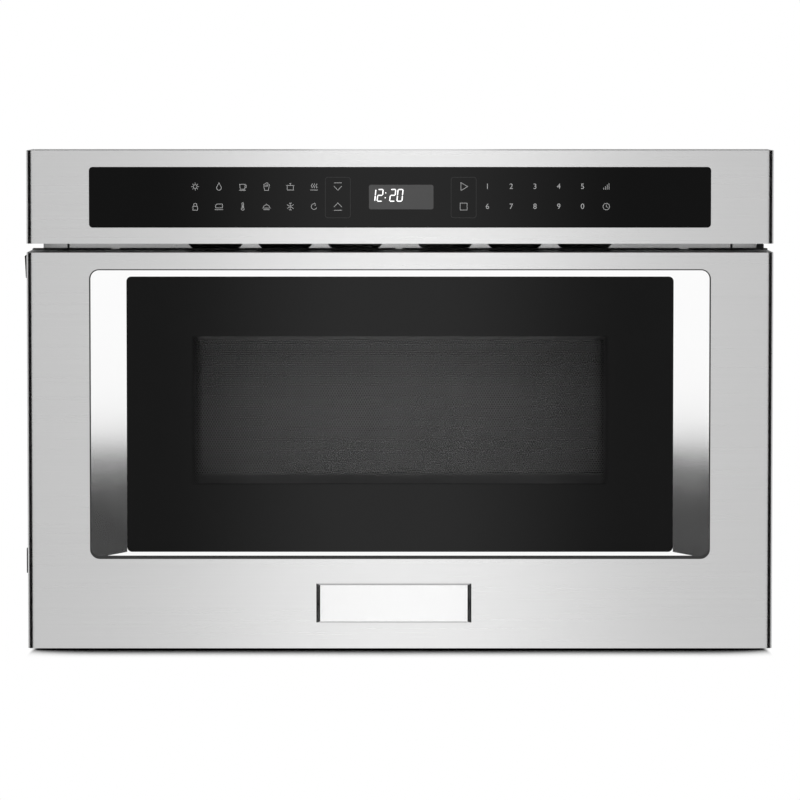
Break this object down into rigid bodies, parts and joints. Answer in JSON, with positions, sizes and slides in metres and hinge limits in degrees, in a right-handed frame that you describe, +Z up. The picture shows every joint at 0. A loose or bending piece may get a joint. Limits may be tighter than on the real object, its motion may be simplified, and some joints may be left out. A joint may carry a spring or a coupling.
{
  "type": "microwave drawer",
  "caption": "Built-in microwave drawer with a stainless front, a touch-glass control panel above and a windowed drawer that runs out on telescopic slides.",
  "frame": {"origin": "centre of the underside of the base pan, on the surface that the oven stands on", "axes": "+X to the user's right when facing the front, +Z up, -Y towards the user: the drawer opens along -Y"},
  "size_m": [0.6082, 0.6765, 0.406],
  "materials": {
    "front_steel": "brushed along X",
    "sheet_steel": "galvanised, dull",
    "rail_steel": "zinc plated",
    "cavity_paint": "baked enamel, satin",
    "chrome": "polished",
    "black_glass": "gloss, printed black behind",
    "clear_glass": "clear",
    "shelf_glass": "satin",
    "screen_steel": "black, perforated",
    "black_plastic": "moulded",
    "grey_plastic": "moulded",
    "display": "smoked",
    "board": "solder mask",
    "mica": "mica sheet",
    "gear_plastic": "acetal",
    "aluminium": "pressed",
    "iron": "laminations with enamelled winding",
    "lamp_white": "ceramic",
    "rubber": "matt",
    "screw_steel": "zinc plated"
  },
  "bodies": {
    "chassis": {"base_pan": "sheet_steel", "wrapper": "sheet_steel", "rear_panel": "sheet_steel", "cord_gland": "black_plastic", "front_plate": "sheet_steel", "side_flange_left": "sheet_steel", "side_flange_right": "sheet_steel", "flange_stop": "rubber", "oven_cavity": "cavity_paint", "stirrer_cover": "mica", "waveguide": "sheet_steel", "stirrer_motor": "grey_plastic", "magnetron": "aluminium", "fan_shroud": "grey_plastic", "fan_motor": "iron", "transformer": "iron", "capacitor": "aluminium", "noise_filter": "board", "cavity_lamp": "lamp_white", "air_duct": "sheet_steel", "control_panel": "front_steel", "touch_glass": "black_glass", "control_housing": "black_plastic", "control_board": "board", "display_module": "display", "fixed_rail_left": "rail_steel", "fixed_rail_right": "rail_steel", "drive_gearbox": "black_plastic", "drive_motor": "aluminium", "interlock_left": "black_plastic", "interlock_right": "black_plastic", "rear_panel_screws": "screw_steel"},
    "drawer": {"door_skin": "front_steel", "top_trim": "black_plastic", "chrome_bezel": "chrome", "door_glass": "black_glass", "glass_carrier": "black_plastic", "door_screen": "screen_steel", "door_choke": "cavity_paint", "choke_cover": "black_plastic", "inner_window": "clear_glass", "inner_panel": "cavity_paint", "door_frame": "sheet_steel", "badge_plate": "chrome", "edge_clip_upper": "rubber", "edge_clip_lower": "rubber", "drawer_basin": "cavity_paint", "glass_shelf": "shelf_glass", "moving_rail_left": "rail_steel", "moving_rail_right": "rail_steel", "drive_rack": "gear_plastic", "latch_hook_left": "grey_plastic", "latch_hook_right": "grey_plastic", "inner_panel_screws": "screw_steel"},
    "left_middle_rail": {"middle_rail_left": "rail_steel"},
    "right_middle_rail": {"middle_rail_right": "rail_steel"},
    "pinion": {"drive_pinion": "gear_plastic"},
    "fan": {"fan_rotor": "grey_plastic"},
    "stirrer": {"stirrer_antenna": "aluminium"}
  },
  "joints": [
    {"name": "drawer_slide", "type": "slide", "parent": "chassis", "child": "drawer", "axis": [0, -1, 0], "range_m": [0, 0.38]},
    {"name": "left_rail_slide", "type": "slide", "parent": "chassis", "child": "left_middle_rail", "axis": [0, -1, 0], "range_m": [0, 0.19]},
    {"name": "right_rail_slide", "type": "slide", "parent": "chassis", "child": "right_middle_rail", "axis": [0, -1, 0], "range_m": [0, 0.19]},
    {"name": "pinion_turn", "type": "hinge", "parent": "chassis", "child": "pinion", "pos_m": [-0.261, -0.261, 0.052], "axis": [1, 0, 0], "range_deg": [0, 1815]},
    {"name": "fan_spin", "type": "hinge", "parent": "chassis", "child": "fan", "pos_m": [0.0955, 0.2102, 0.2562], "axis": [1, 0, 0], "continuous": true},
    {"name": "stirrer_spin", "type": "hinge", "parent": "chassis", "child": "stirrer", "pos_m": [0, -0.06, 0.28], "axis": [0, 0, 1], "continuous": true}
  ],
  "couplings": [
    {"joint": "left_rail_slide", "follows": "drawer_slide", "ratio": 0.5},
    {"joint": "right_rail_slide", "follows": "drawer_slide", "ratio": 0.5},
    {"joint": "pinion_turn", "follows": "drawer_slide", "rad_per_m": 83.333}
  ]
}
